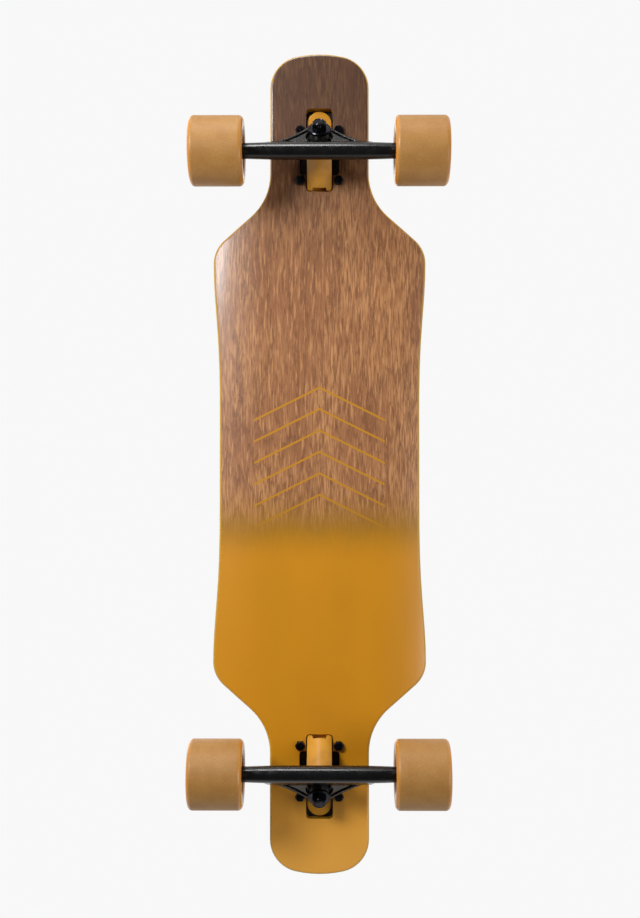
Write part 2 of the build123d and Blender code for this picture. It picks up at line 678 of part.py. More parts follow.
def make_axle(outward):
    """Axle through the hanger, long enough for a wheel and a nut at each end."""
    start = axle_frame(outward, 1).from_local_coords((-AXLE_END, 0, 0))
    with BuildPart() as axle:
        with BuildSketch(Plane(origin=start, z_dir=(0, 1, 0))):
            Circle(AXLE_RADIUS)
        extrude(amount=2 * AXLE_END)
        chamfer(axle.edges().filter_by(GeomType.CIRCLE), AXLE_CHAMFER)
    return axle


# --- wheel pieces ---
def across_axle(outward, side):
    """Plane across the axle's middle, facing one wheel."""
    frame = axle_frame(outward, side)
    return Plane(origin=frame.origin, x_dir=(0, 0, 1), z_dir=frame.x_dir)


def make_rings(planes, starts, length, outer, inner):
    """One node of separate plain rings, on every plane at each start distance."""
    with BuildPart() as rings:
        for plane in planes:
            for start in starts:
                with BuildSketch(plane.offset(start)):
                    Circle(outer)
                    Circle(inner, mode=Mode.SUBTRACT)
                extrude(amount=length)
    return rings


def make_races(frames, outer, inner):
    """Bearing rings with the ball groove, at both bearings of each frame."""
    groove = BALL_RADIUS + RACE_CLEARANCE
    with BuildPart() as races:
        for frame in frames:
            for start in (INNER_BEARING, OUTER_BEARING):
                middle = start + BEARING_WIDTH / 2
                with BuildSketch(frame):
                    with Locations((middle, (outer + inner) / 2)):
                        Rectangle(BEARING_WIDTH, outer - inner)
                    with Locations((middle, BALL_PITCH_RADIUS)):
                        Circle(groove, mode=Mode.SUBTRACT)
                revolve(axis=Axis(frame.origin, frame.x_dir))
    return races


def make_balls(plane):
    """Balls of one wheel's two bearings."""
    with BuildPart() as balls:
        for start in (INNER_BEARING, OUTER_BEARING):
            with Locations(plane.offset(start + BEARING_WIDTH / 2)):
                with PolarLocations(BALL_PITCH_RADIUS, BALL_COUNT):
                    Sphere(BALL_RADIUS)
    return balls


def make_tyre(frame):
    """Urethane tyre with rounded lips and slightly dished faces."""
    inner_core = WHEEL_INNER + CORE_RECESS
    outer_core = WHEEL_OUTER - CORE_RECESS
    with BuildPart() as tyre:
        with BuildSketch(frame) as section:
            with BuildLine():
                Polyline(
                    (inner_core, CORE_RADIUS),
                    (WHEEL_INNER + DISH_DEPTH, DISH_RADIUS),
                    (WHEEL_INNER, FACE_RADIUS),
                    (WHEEL_INNER, WHEEL_RADIUS),
                    (WHEEL_OUTER, WHEEL_RADIUS),
                    (WHEEL_OUTER, FACE_RADIUS),
                    (WHEEL_OUTER - DISH_DEPTH, DISH_RADIUS),
                    (outer_core, CORE_RADIUS),
                    close=True,
                )
            make_face()
            fillet(section.vertices().group_by(Axis.Z)[-1], LIP_RADIUS)
        revolve(axis=Axis(frame.origin, frame.x_dir))
    return tyre


def make_core(frame):
    """Moulded hub: bearing seats, a shoulder between them and a flared mouth each side."""
    inner_core = WHEEL_INNER + CORE_RECESS
    outer_core = WHEEL_OUTER - CORE_RECESS
    seat_inner = INNER_BEARING - CORE_MOUTH
    seat_outer = BEARINGS_END + CORE_MOUTH
    mouth = BEARING_RADIUS + CORE_MOUTH
    with BuildPart() as core:
        with BuildSketch(frame):
            with BuildLine():
                Polyline(
                    (inner_core, CORE_RADIUS),
                    (outer_core, CORE_RADIUS),
                    (outer_core, CORE_RADIUS - CORE_WALL),
                    (seat_outer, mouth),
                    (seat_outer, BEARING_RADIUS),
                    (OUTER_BEARING, BEARING_RADIUS),
                    (OUTER_BEARING, CORE_SHOULDER_RADIUS),
                    (INNER_BEARING + BEARING_WIDTH, CORE_SHOULDER_RADIUS),
                    (INNER_BEARING + BEARING_WIDTH, BEARING_RADIUS),
                    (seat_inner, BEARING_RADIUS),
                    (seat_inner, mouth),
                    (inner_core, CORE_RADIUS - CORE_WALL),
                    close=True,
                )
            make_face()
        revolve(axis=Axis(frame.origin, frame.x_dir))
    return core


def make_shields(plane):
    """Thin shields on both sides of each bearing of one wheel."""
    starts = []
    for bearing in (INNER_BEARING, OUTER_BEARING):
        starts.append(bearing + SHIELD_INSET)
        starts.append(bearing + BEARING_WIDTH - SHIELD_INSET - SHIELD_THICKNESS)
    inner = INNER_RING_RADIUS + SHIELD_GAP
    return make_rings([plane], starts, SHIELD_THICKNESS, OUTER_RING_INNER_RADIUS, inner)


# --- mounting hardware ---
def make_mounting_screws(outward):
    """Four button-head screws down through the flange and the deck."""
    frame = truck_frame(outward)
    with BuildPart() as screws:
        extrude(bolt_circles(frame.offset(-SCREW_END), SCREW_RADIUS), amount=SCREW_END + FLANGE_TOP)
        extrude(bolt_circles(frame.offset(FLANGE_TOP), SCREW_HEAD_RADIUS), amount=SCREW_HEAD_HEIGHT)
        heads = screws.edges().filter_by(GeomType.CIRCLE).group_by(Axis.Z)[-1]
        fillet(heads, SCREW_HEAD_ROUNDING)
        with BuildSketch(frame.offset(FLANGE_TOP + SCREW_HEAD_HEIGHT)):
            with GridLocations(BOLT_SPACING_X, BOLT_SPACING_Y, 2, 2):
                RegularPolygon(SCREW_SOCKET_FLATS / 2, 6, major_radius=False)
        extrude(amount=-SCREW_SOCKET_DEPTH, mode=Mode.SUBTRACT)
    return screws


def bolt_planes(outward):
    """One plane under the deck at each mounting bolt, facing down."""
    frame = truck_frame(outward)
    planes = []
    for x in (-BOLT_SPACING_X / 2, BOLT_SPACING_X / 2):
        for y in (-BOLT_SPACING_Y / 2, BOLT_SPACING_Y / 2):
            planes.append(Plane(origin=frame.from_local_coords((x, y, 0)), z_dir=(0, 0, -1)))
    return planes


def make_truck(end, outward):
    """Every piece of one truck but its wheels."""
    steer = steer_frame(outward)
    axle_frames = [axle_frame(outward, side) for side in (1, -1)]
    across = [across_axle(outward, side) for side in (1, -1)]
    hole = KINGPIN_RADIUS + KINGPIN_CLEARANCE
    write(make_baseplate(outward), f"{end}_baseplate")
    write(make_shock_pad(outward), f"{end}_shock_pad")
    write(make_pivot_cup(outward), f"{end}_pivot_cup")
    write(make_kingpin(outward), f"{end}_kingpin")
    kingpin_nut = make_lock_nut([steer.offset(NUT_SEAT)], NUT_FLATS, NUT_HEIGHT, NUT_COLLAR_RADIUS,
                                NUT_COLLAR_HEIGHT, KINGPIN_RADIUS)
    write(kingpin_nut, f"{end}_kingpin_nut")
    write(make_board_bushing(outward), f"{end}_boardside_bushing")
    write(make_road_bushing(outward), f"{end}_roadside_bushing")
    board_washer = make_ring(steer, SEAT, SEAT + WASHER_THICKNESS, WASHER_RADIUS, hole)
    write(board_washer, f"{end}_boardside_washer")
    write(make_cup_washer(outward), f"{end}_roadside_washer")
    write(make_mounting_screws(outward), f"{end}_mounting_screws")
    mounting_nuts = make_lock_nut(bolt_planes(outward), LOCK_NUT_FLATS, LOCK_NUT_HEIGHT,
                                  LOCK_NUT_COLLAR_RADIUS, LOCK_NUT_COLLAR_HEIGHT, SCREW_RADIUS)
    write(mounting_nuts, f"{end}_mounting_nuts")
    write(make_hanger(outward), f"{end}_hanger")
    write(make_axle(outward), f"{end}_axle")
    inner_rings = make_races(axle_frames, INNER_RING_RADIUS, BEARING_BORE_RADIUS)
    write(inner_rings, f"{end}_bearing_inner_rings")
    spacers = make_rings(across, [INNER_BEARING + BEARING_WIDTH], SPACER_LENGTH, SPACER_RADIUS,
                         BEARING_BORE_RADIUS)
    write(spacers, f"{end}_bearing_spacers")
    speed_washers = make_rings(across, [HANGER_FACE, BEARINGS_END], SPEED_WASHER_THICKNESS,
                               SPEED_WASHER_RADIUS, BEARING_BORE_RADIUS)
    write(speed_washers, f"{end}_speed_washers")
    axle_nuts = make_lock_nut([plane.offset(AXLE_NUT_SEAT) for plane in across], AXLE_NUT_FLATS,
                              AXLE_NUT_HEIGHT, AXLE_NUT_COLLAR_RADIUS, AXLE_NUT_COLLAR_HEIGHT, AXLE_RADIUS)
    write(axle_nuts, f"{end}_axle_nuts")


def make_wheel(end, outward, hand, side):
    """Tyre, core and the turning bearing pieces of one wheel."""
    frame = axle_frame(outward, side)
    across = across_axle(outward, side)
    write(make_tyre(frame), f"{end}_{hand}_tyre")
    write(make_core(frame), f"{end}_{hand}_wheel_core")
    outer_rings = make_races([frame], BEARING_RADIUS, OUTER_RING_INNER_RADIUS)
    write(outer_rings, f"{end}_{hand}_bearing_outer_rings")
    write(make_balls(across), f"{end}_{hand}_bearing_balls")
    write(make_shields(across), f"{end}_{hand}_bearing_shields")


os.makedirs("parts", exist_ok=True)
make_deck()
for end, outward in (("front", 1), ("rear", -1)):
    make_truck(end, outward)
    for hand, side in (("left", 1), ("right", -1)):
        make_wheel(end, outward, hand, side)
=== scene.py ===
"""Looks of a drop-through longboard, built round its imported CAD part.

Metres, +X towards the nose, +Y to the left, +Z up, wheels standing on z = 0.
"""

import logging
import math
from dataclasses import dataclass, field
from enum import Enum

import bmesh
import bpy
from mathutils import Matrix, Vector


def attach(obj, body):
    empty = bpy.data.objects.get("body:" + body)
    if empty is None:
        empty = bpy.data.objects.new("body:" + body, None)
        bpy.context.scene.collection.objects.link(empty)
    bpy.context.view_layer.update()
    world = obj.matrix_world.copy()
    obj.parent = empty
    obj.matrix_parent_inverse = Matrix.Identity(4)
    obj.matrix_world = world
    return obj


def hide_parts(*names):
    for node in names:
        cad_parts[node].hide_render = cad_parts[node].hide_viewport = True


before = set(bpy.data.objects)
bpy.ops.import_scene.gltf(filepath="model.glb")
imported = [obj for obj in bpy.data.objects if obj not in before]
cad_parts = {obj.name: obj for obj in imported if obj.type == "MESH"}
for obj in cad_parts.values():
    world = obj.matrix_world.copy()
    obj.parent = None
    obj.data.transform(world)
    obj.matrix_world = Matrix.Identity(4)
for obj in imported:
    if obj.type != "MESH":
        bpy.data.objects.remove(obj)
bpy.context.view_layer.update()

MM = 0.001
AXLE_X = 321.7 * MM
AXLE_Z = 36.0 * MM
UNDERSIDE_Z = 86.0 * MM
EDGE_OCHRE = "#BC9020"

# Settings shared by many nodes: a smooth step of a value, and a mix of two colours.
STEP: dict[str, object] = {"interpolation_type": "SMOOTHSTEP"}
BLEND: dict[str, object] = {"data_type": "RGBA"}
THROUGH_MM = 400.0  # grain this long down Z, so that it does not change through a veneer

Colour = tuple[float, float, float, float]
Point = tuple[float, float]
log = logging.getLogger("longboard")


def linear(code: str) -> Colour:
    """Turn an sRGB hex colour into linear light.

    Args:
        code: colour such as "#C0820F".

    Returns:
        Red, green, blue and an alpha of 1.
    """
    parts = [int(code[i : i + 2], 16) / 255 for i in (1, 3, 5)]
    red, green, blue = (p / 12.92 if p <= 0.04045 else ((p + 0.055) / 1.055) ** 2.4 for p in parts)
    return (red, green, blue, 1.0)


def add_node(
    tree: bpy.types.NodeTree,
    kind: str,
    inputs: dict[int | str, object] | None = None,
    out: int | str = 0,
    **settings: object,
) -> bpy.types.NodeSocket:
    """Add one node with its settings, values and links.

    Args:
        tree: node tree to add it to.
        kind: Blender's name of the node.
        inputs: value or socket for each input, by index or name.
        out: output to hand back.
        **settings: properties of the node.

    Returns:
        The chosen output, ready to be linked.
    """
    node = tree.nodes.new(kind)
    for key, value in settings.items():
        setattr(node, key, value)
    for key, value in (inputs or {}).items():
        if isinstance(value, bpy.types.NodeSocket):
            tree.links.new(value, node.inputs[key])
        else:
            node.inputs[key].default_value = value
    return node.outputs[out]


def per_metre(size_mm: float) -> float:
    """Pattern scale whose features are about one real size across."""
    return 1.0 / (size_mm * MM)


# --- finishes ---
@dataclass(frozen=True)
class Finish:
    """A real material and how its surface was made."""

    name: str
    slot: str

    def shade(self, tree: bpy.types.NodeTree, shader: bpy.types.Node) -> None:
        """Wire the finish to its shader.

        Args:
            tree: the material's nodes.
            shader: its Principled BSDF.
        """
        raise NotImplementedError

    def material(self) -> bpy.types.Material:
        """Make the material, or hand back the one made before.

        Returns:
            The finish's material.
        """
        made = bpy.data.materials.get(self.name)
        if made is None:
            made = bpy.data.materials.new(self.name)
            made.use_nodes = True
            self.shade(made.node_tree, made.node_tree.nodes["Principled BSDF"])
        return made

    def dress(self, piece: bpy.types.Object) -> None:
        """Put the finish on a piece.

        Args:
            piece: object to dress.
        """
        piece.data.materials.clear()
        piece.data.materials.append(self.material())


def noise(
    tree: bpy.types.NodeTree, size_mm: tuple[float, float, float], detail: float
) -> bpy.types.NodeSocket:
    """Noise stretched to real sizes along the object's axes.

    Args:
        tree: the material's nodes.
        size_mm: feature size along X, Y and Z.
        detail: octaves of finer noise.

    Returns:
        Noise from 0 to 1, mostly near 0.5.
    """
    place = add_node(tree, "ShaderNodeTexCoord", out="Object")
    scale = tuple(per_metre(size) for size in size_mm)
    stretched = add_node(tree, "ShaderNodeMapping", {"Vector": place, "Scale": scale})
    return add_node(
        tree, "ShaderNodeTexNoise", {"Vector": stretched, "Scale": 1.0, "Detail": detail}
    )


def bumped(
    tree: bpy.types.NodeTree,
    shader: bpy.types.Node,
    height: bpy.types.NodeSocket,
    depth_mm: float,
    strength: float,
) -> None:
    """Give the shader a bump of a real depth.

    Args:
        tree: the material's nodes.
        shader: the Principled BSDF.
        height: height from 0 to 1.
        depth_mm: what a height of 1 stands for.
        strength: share of the bump that shows.
    """
    normal = add_node(
        tree, "ShaderNodeBump", {"Height": height, "Distance": depth_mm * MM, "Strength": strength}
    )
    tree.links.new(normal, shader.inputs["Normal"])


@dataclass(frozen=True)
class StainedVeneer(Finish):
    """Birch veneer, sliced, stained brown and lacquered: flame figure under a clear gloss.

    The tail half is sprayed with ochre paint that fades into the wood, and thin
    painted chevrons cross the middle.
    """

    light: str = "#BC8757"
    middle: str = "#8A5836"
    dark: str = "#643C22"
    pore: str = "#482A19"
    # Painted shade: the colour the wood is drawn towards at the nose.
    nose: str = "#281104"
    paint: str = "#C48200"
    mist: str = "#9C6C06"
    tail_paint: str = "#E6A542"
    line: str = "#B57C16"
    fade_start: float = -8 * MM
    fade_end: float = -122 * MM
    spray: float = 12 * MM
    line_width: float = 2.2 * MM
    line_pitch: float = 23.0 * MM
    line_first: float = -35.0 * MM
    line_last: float = 80.0 * MM
    line_reach: float = 70.0 * MM
    line_slope: float = 0.5
    # Where the painted shade at the nose begins and where it is darkest.
    nose_shade_start: float = 190 * MM
    nose_shade_end: float = 400 * MM
    tail_start: float = -300 * MM
    tail_end: float = -430 * MM
    rim_start: float = -0.93
    rim_end: float = -0.80
    roughness: float = 0.40
    coat: float = 0.35
    coat_roughness: float = 0.16
    pore_mm: float = 0.06

    def motif(
        self, tree: bpy.types.NodeTree, x: bpy.types.NodeSocket, y: bpy.types.NodeSocket
    ) -> bpy.types.NodeSocket:
        """Nested chevrons, 1 on a line and 0 off it.

        Args:
            tree: the material's nodes.
            x: distance towards the nose.
            y: distance to the left.

        Returns:
            The chevrons' mask.
        """
        side = add_node(tree, "ShaderNodeMath", {0: y}, operation="ABSOLUTE")
        along = add_node(
            tree, "ShaderNodeMath", {0: side, 1: self.line_slope, 2: x}, operation="MULTIPLY_ADD"
        )
        shifted = add_node(
            tree,
            "ShaderNodeMath",
            {0: along, 1: self.line_first - self.line_pitch / 2},
            operation="SUBTRACT",
        )
        repeats = add_node(
            tree, "ShaderNodeMath", {0: shifted, 1: self.line_pitch}, operation="DIVIDE"
        )
        phase = add_node(tree, "ShaderNodeMath", {0: repeats}, operation="FRACT")
        half = self.line_width / 2 * math.hypot(1, self.line_slope) / self.line_pitch
        on_line = add_node(tree, "ShaderNodeMath", {0: phase, 1: 0.5, 2: half}, operation="COMPARE")
        inside = add_node(
            tree, "ShaderNodeMath", {0: side, 1: self.line_reach}, operation="LESS_THAN"
        )
        middle = (self.line_first + self.line_last) / 2
        reach = (self.line_last - self.line_first + self.line_pitch) / 2
        in_set = add_node(
            tree, "ShaderNodeMath", {0: along, 1: middle, 2: reach}, operation="COMPARE"
        )
        both = add_node(tree, "ShaderNodeMath", {0: inside, 1: in_set}, operation="MULTIPLY")
        return add_node(tree, "ShaderNodeMath", {0: on_line, 1: both}, operation="MULTIPLY")

    def wood(self, tree: bpy.types.NodeTree) -> tuple[bpy.types.NodeSocket, bpy.types.NodeSocket]:
        """Stained wood: growth rings, fibres, pale flecks and pores.

        Args:
            tree: the material's nodes.

        Returns:
            The wood's colour, and its pores from 0 to 1.
        """
        # Growth rings: steps of a field stretched along the board, ragged where a knife cut them.
        ragged = noise(tree, (14, 2.6, THROUGH_MM), 5.0)
        rings = add_node(
            tree,
            "ShaderNodeMath",
            {0: noise(tree, (340, 75, THROUGH_MM), 2.0), 1: 13.0},
            operation="MULTIPLY",
        )
        rings = add_node(
            tree, "ShaderNodeMath", {0: ragged, 1: 1.6, 2: rings}, operation="MULTIPLY_ADD"
        )
        ring = add_node(tree, "ShaderNodeMath", {0: rings}, operation="FRACT")
        figure = add_node(
            tree, "ShaderNodeMapRange", {0: ring, 1: 0.45, 2: 0.98, 3: 0.0, 4: 0.5}, **STEP
        )
        fibre = add_node(
            tree,
            "ShaderNodeMapRange",
            {0: noise(tree, (16, 1.2, THROUGH_MM), 5.0), 1: 0.36, 2: 0.64, 3: 0.0, 4: 1.0},
            **STEP,
        )
        pale = add_node(
            tree,
            "ShaderNodeMapRange",
            {0: noise(tree, (22, 2.4, THROUGH_MM), 4.0), 1: 0.52, 2: 0.68, 3: 0.0, 4: 0.85},
            **STEP,
        )
        pore = add_node(
            tree,
            "ShaderNodeMapRange",
            {0: noise(tree, (7, 1.0, THROUGH_MM), 1.0), 1: 0.6, 2: 0.74},
            **STEP,
        )
        cloud = add_node(
            tree,
            "ShaderNodeMapRange",
            {0: noise(tree, (130, 45, THROUGH_MM), 3.0), 1: 0.35, 2: 0.68, 3: 0.0, 4: 0.75},
            **STEP,
        )
        colour = add_node(
            tree,
            "ShaderNodeMix",
            {0: fibre, 6: linear(self.light), 7: linear(self.middle)},
            2,
            **BLEND,
        )
        colour = add_node(
            tree, "ShaderNodeMix", {0: cloud, 6: colour, 7: linear(self.middle)}, 2, **BLEND
        )
        colour = add_node(
            tree, "ShaderNodeMix", {0: figure, 6: colour, 7: linear(self.dark)}, 2, **BLEND
        )
        colour = add_node(
            tree, "ShaderNodeMix", {0: pale, 6: colour, 7: linear(self.light)}, 2, **BLEND
        )
        share = add_node(tree, "ShaderNodeMath", {0: pore, 1: 0.35}, operation="MULTIPLY")
        colour = add_node(
            tree, "ShaderNodeMix", {0: share, 6: colour, 7: linear(self.pore)}, 2, **BLEND
        )
        return colour, pore

    def shade(self, tree: bpy.types.NodeTree, shader: bpy.types.Node) -> None:
        """Wire wood, paint fade, chevrons and lacquer.

        Args:
            tree: the material's nodes.
            shader: its Principled BSDF.
        """
        place = add_node(tree, "ShaderNodeTexCoord", out="Object")
        x = add_node(tree, "ShaderNodeSeparateXYZ", {0: place})
        y = x.node.outputs[1]
        colour, pore = self.wood(tree)
        # Painted shade: the wood is drawn darker towards the nose, standing in for the shade seen
        # there; it is no real stain.
        stained = add_node(
            tree,
            "ShaderNodeMapRange",
            {0: x, 1: self.nose_shade_start, 2: self.nose_shade_end, 3: 0.0, 4: 0.8},
            **STEP,
        )
        colour = add_node(
            tree, "ShaderNodeMix", {0: stained, 6: colour, 7: linear(self.nose)}, 2, **BLEND
        )
        colour = add_node(
            tree,
            "ShaderNodeMix",
            {0: self.motif(tree, x, y), 6: colour, 7: linear(self.line)},
            2,
            **BLEND,
        )
        # Spray droplets are coarser than real mist, so that the fade's grain shows.
        mist = noise(tree, (9.0, 1.6, 1.6), 2.0)
        drift = noise(tree, (60, 40, 60), 2.0)
        edge = add_node(
            tree, "ShaderNodeMath", {0: mist, 1: self.spray, 2: x}, operation="MULTIPLY_ADD"
        )
        edge = add_node(
            tree, "ShaderNodeMath", {0: drift, 1: self.spray, 2: edge}, operation="MULTIPLY_ADD"
        )
        covered = add_node(
            tree,
            "ShaderNodeMapRange",
            {
                0: edge,
                1: self.fade_end + self.spray,
                2: self.fade_start + self.spray,
                3: 1.0,
                4: 0.0,
            },
            **STEP,
        )
        at_tail = add_node(
            tree,
            "ShaderNodeMapRange",
            {0: x, 1: self.tail_end, 2: self.tail_start, 3: 1.0, 4: 0.0},
            **STEP,
        )
        paint = add_node(
            tree,
            "ShaderNodeMix",
            {0: at_tail, 6: linear(self.paint), 7: linear(self.tail_paint)},
            2,
            **BLEND,
        )
        tint = add_node(
            tree,
            "ShaderNodeMapRange",
            {0: noise(tree, (120, 60, 60), 3.0), 1: 0.3, 2: 0.7, 3: 0.94, 4: 1.0},
            **STEP,
        )
        paint = add_node(
            tree, "ShaderNodeMix", {0: 1.0, 6: paint, 7: tint}, 2, **BLEND, blend_type="MULTIPLY"
        )
        misted = add_node(tree, "ShaderNodeMapRange", {0: covered, 1: 0.0, 2: 0.75}, **STEP)
        colour = add_node(
            tree, "ShaderNodeMix", {0: misted, 6: colour, 7: linear(self.mist)}, 2, **BLEND
        )
        painted = add_node(tree, "ShaderNodeMapRange", {0: covered, 1: 0.5, 2: 1.0}, **STEP)
        colour = add_node(tree, "ShaderNodeMix", {0: painted, 6: colour, 7: paint}, 2, **BLEND)
        # The edge paint of the plies laps a little way onto the rounded rim.
        facing = add_node(tree, "ShaderNodeNewGeometry", out="Normal")
        downward = add_node(tree, "ShaderNodeSeparateXYZ", {0: facing}, 2)
        rim = add_node(
            tree, "ShaderNodeMapRange", {0: downward, 1: self.rim_start, 2: self.rim_end}, **STEP
        )
        colour = add_node(
            tree, "ShaderNodeMix", {0: rim, 6: colour, 7: linear(EDGE_OCHRE)}, 2, **BLEND
        )
        tree.links.new(colour, shader.inputs["Base Color"])
        # Lacquer: clear, rolled on, a little uneven, so highlights are broad.
        shader.inputs["Roughness"].default_value = self.roughness
        shader.inputs["Coat Weight"].default_value = self.coat
        shader.inputs["Coat Roughness"].default_value = self.coat_roughness
        height = add_node(tree, "ShaderNodeMath", {0: 1.0, 1: pore}, operation="SUBTRACT")
        bumped(tree, shader, height, self.pore_mm, 0.25)


@dataclass(frozen=True)
class PlainVeneer(Finish):
    """Maple veneer, sliced and clear lacquered: pale with faint fibres."""

    light: str = "#CFAE80"
    dark: str = "#A9834F"

    def shade(self, tree: bpy.types.NodeTree, shader: bpy.types.Node) -> None:
        """Wire pale fibres.

        Args:
            tree: the material's nodes.
            shader: its Principled BSDF.
        """
        fibre = add_node(
            tree, "ShaderNodeMapRange", {0: noise(tree, (60, 1.6, 2), 3.0), 1: 0.35, 2: 0.7}, **STEP
        )
        colour = add_node(
            tree,
            "ShaderNodeMix",
            {0: fibre, 6: linear(self.light), 7: linear(self.dark)},
            2,
            **BLEND,
        )
        tree.links.new(colour, shader.inputs["Base Color"])
        shader.inputs["Roughness"].default_value = 0.4
        bumped(tree, shader, fibre, 0.05, 0.3)


@dataclass(frozen=True)
class PaintedEdge(Finish):
    """Maple plies, routed, sanded and painted ochre: glue lines just show as ridges."""

    paint: str = EDGE_OCHRE
    ply: str = "#8F6214"
    ply_mm: float = 1.5

    def shade(self, tree: bpy.types.NodeTree, shader: bpy.types.Node) -> None:
        """Wire paint over the ply lines.

        Args:
            tree: the material's nodes.
            shader: its Principled BSDF.
        """
        place = add_node(tree, "ShaderNodeTexCoord", out="Object")
        z = add_node(tree, "ShaderNodeSeparateXYZ", {0: place}, 2)
        count = add_node(
            tree, "ShaderNodeMath", {0: z, 1: per_metre(self.ply_mm)}, operation="MULTIPLY"
        )
        wobble = noise(tree, (30, 30, 6), 2.0)
        count = add_node(
            tree, "ShaderNodeMath", {0: wobble, 1: 0.25, 2: count}, operation="MULTIPLY_ADD"
        )
        phase = add_node(tree, "ShaderNodeMath", {0: count, 1: 0.5}, operation="PINGPONG")
        seam = add_node(
            tree, "ShaderNodeMapRange", {0: phase, 1: 0.0, 2: 0.1, 3: 1.0, 4: 0.0}, **STEP
        )
        share = add_node(tree, "ShaderNodeMath", {0: seam, 1: 0.55}, operation="MULTIPLY")
        colour = add_node(
            tree,
            "ShaderNodeMix",
            {0: share, 6: linear(self.paint), 7: linear(self.ply)},
            2,
            **BLEND,
        )
        scuff = add_node(
            tree,
            "ShaderNodeMapRange",
            {0: noise(tree, (14, 14, 1.2), 3.0), 1: 0.35, 2: 0.75, 3: 0.0, 4: 0.4},
            **STEP,
        )
        colour = add_node(
            tree, "ShaderNodeMix", {0: scuff, 6: colour, 7: linear(self.ply)}, 2, **BLEND
        )
        tree.links.new(colour, shader.inputs["Base Color"])
        shader.inputs["Roughness"].default_value = 0.42
        height = add_node(tree, "ShaderNodeMath", {0: 1.0, 1: seam}, operation="SUBTRACT")
        bumped(tree, shader, height, 0.15, 0.4)


@dataclass(frozen=True)
class GritTape(Finish):
    """Silicon carbide grit on film: black, rough, with a painted sparkle on single grains.

    The grit is drawn 1.1 mm coarse, about three times real, so that it shows.
    """

    base: str = "#1B1B1D"
    dust: str = "#303033"
    painted_glint: str = "#8A8A8F"
    grain_mm: float = 1.1

    def shade(self, tree: bpy.types.NodeTree, shader: bpy.types.Node) -> None:
        """Wire grains, painted sparkle and worn patches.

        Args:
            tree: the material's nodes.
            shader: its Principled BSDF.
        """
        place = add_node(tree, "ShaderNodeTexCoord", out="Object")
        grains = add_node(
            tree, "ShaderNodeTexVoronoi", {"Vector": place, "Scale": per_metre(self.grain_mm)}
        )
        shine = add_node(tree, "ShaderNodeSeparateColor", {0: grains.node.outputs["Color"]})
        worn = add_node(
            tree,
            "ShaderNodeMapRange",
            {0: noise(tree, (110, 80, 80), 3.0), 1: 0.4, 2: 0.7, 3: 0.0, 4: 0.6},
            **STEP,
        )
        colour = add_node(
            tree, "ShaderNodeMix", {0: worn, 6: linear(self.base), 7: linear(self.dust)}, 2, **BLEND
        )
        # Painted highlight: single grains are drawn pale grey as a glint, besides the lower
        # roughness they get below.
        painted_glint = add_node(
            tree, "ShaderNodeMapRange", {0: shine, 1: 0.93, 2: 1.0, 3: 0.0, 4: 0.35}, **STEP
        )
        colour = add_node(
            tree, "ShaderNodeMix", {0: painted_glint, 6: colour, 7: linear(self.painted_glint)}, 2, **BLEND
        )
        tree.links.new(colour, shader.inputs["Base Color"])
        roughness = add_node(
            tree, "ShaderNodeMapRange", {0: shine, 1: 0.8, 2: 1.0, 3: 0.85, 4: 0.45}, **STEP
        )
        tree.links.new(roughness, shader.inputs["Roughness"])
        height = add_node(tree, "ShaderNodeMath", {0: 1.0, 1: grains}, operation="SUBTRACT")
        bumped(tree, shader, height, 0.5, 0.7)


class Coat(Enum):
    """Colours of powder coat on the castings."""

    OCHRE = ("#C68A1E", "#A36C12", 0.36)
    BLACK = ("#050505", "#090909", 0.24)


@dataclass(frozen=True)
class PowderCoat(Finish):
    """Powder coat baked on cast aluminium: satin, with a fine orange peel."""

    coat: Coat
    peel_mm: float = 1.4

    def shade(self, tree: bpy.types.NodeTree, shader: bpy.types.Node) -> None:
        """Wire coat colour, peel and handling marks.

        Args:
            tree: the material's nodes.
            shader: its Principled BSDF.
        """
        main, second, rough = self.coat.value
        peel = noise(tree, (self.peel_mm,) * 3, 2.0)
        blotch = add_node(
            tree,
            "ShaderNodeMapRange",
            {0: noise(tree, (22, 22, 22), 3.0), 1: 0.35, 2: 0.7, 3: 0.0, 4: 0.7},
            **STEP,
        )
        colour = add_node(
            tree, "ShaderNodeMix", {0: blotch, 6: linear(main), 7: linear(second)}, 2, **BLEND
        )
        tree.links.new(colour, shader.inputs["Base Color"])
        rub = add_node(
            tree,
            "ShaderNodeMapRange",
            {0: noise(tree, (9, 9, 9), 4.0), 1: 0.35, 2: 0.75, 3: rough - 0.03, 4: rough + 0.07},
            **STEP,
        )
        tree.links.new(rub, shader.inputs["Roughness"])
        bumped(tree, shader, peel, 0.03, 0.25)


@dataclass(frozen=True)
class MouldedRubber(Finish):
    """Urethane or rubber, moulded: dense black with a soft sheen and faint flow marks."""

    base: str = "#0A0A0B"
    bloom: str = "#18181A"
    roughness: float = 0.38

    def shade(self, tree: bpy.types.NodeTree, shader: bpy.types.Node) -> None:
        """Wire black rubber with a light bloom.

        Args:
            tree: the material's nodes.
            shader: its Principled BSDF.
        """
        bloom = add_node(
            tree,
            "ShaderNodeMapRange",
            {0: noise(tree, (6, 6, 6), 4.0), 1: 0.4, 2: 0.75, 3: 0.0, 4: 0.7},
            **STEP,
        )
        colour = add_node(
            tree,
            "ShaderNodeMix",
            {0: bloom, 6: linear(self.base), 7: linear(self.bloom)},
            2,
            **BLEND,
        )
        tree.links.new(colour, shader.inputs["Base Color"])
        shader.inputs["Roughness"].default_value = self.roughness
        bumped(tree, shader, noise(tree, (0.9, 0.9, 0.9), 2.0), 0.05, 0.3)


